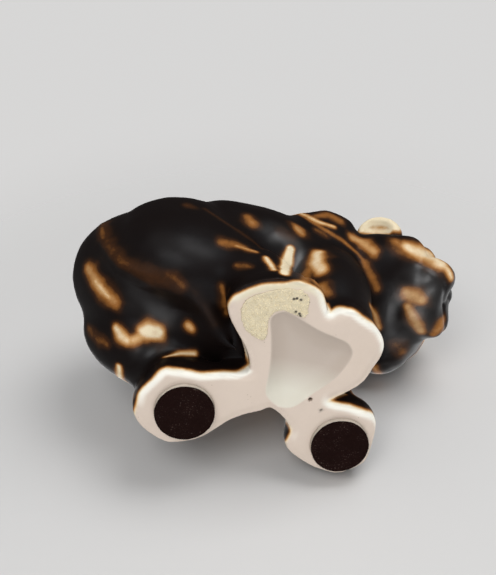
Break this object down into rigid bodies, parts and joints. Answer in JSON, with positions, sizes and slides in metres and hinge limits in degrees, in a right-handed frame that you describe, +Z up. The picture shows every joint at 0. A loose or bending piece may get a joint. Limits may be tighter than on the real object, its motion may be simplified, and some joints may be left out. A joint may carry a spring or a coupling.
{
  "type": "dog figurine",
  "caption": "Small glazed stoneware dog figurine, a stocky puppy with its head turned to one side, standing on felt pads stuck under its flat unglazed sole.",
  "frame": {"origin": "middle of the bounding box at its bottom, in the plane of the felt pads' undersides", "axes": "+X towards the nose, +Y to the dog's left, +Z up"},
  "size_m": [0.1106, 0.0572, 0.065],
  "materials": {
    "dark_glaze": "satin",
    "bisque": "matte",
    "felt": "matte",
    "dried_glue": "matte"
  },
  "bodies": {
    "root": {"trunk": "dark_glaze", "head": "dark_glaze", "right_ear": "dark_glaze", "left_ear": "dark_glaze", "tail": "dark_glaze", "right_foreleg": "dark_glaze", "left_foreleg": "dark_glaze", "right_hind_leg": "dark_glaze", "left_hind_leg": "dark_glaze", "sole": "bisque", "felt_pad_left_hind": "felt", "felt_pad_left_fore": "felt", "pad_glue_left_hind": "dried_glue", "pad_glue_left_fore": "dried_glue", "glue_residue": "dried_glue"}
  },
  "joints": []
}
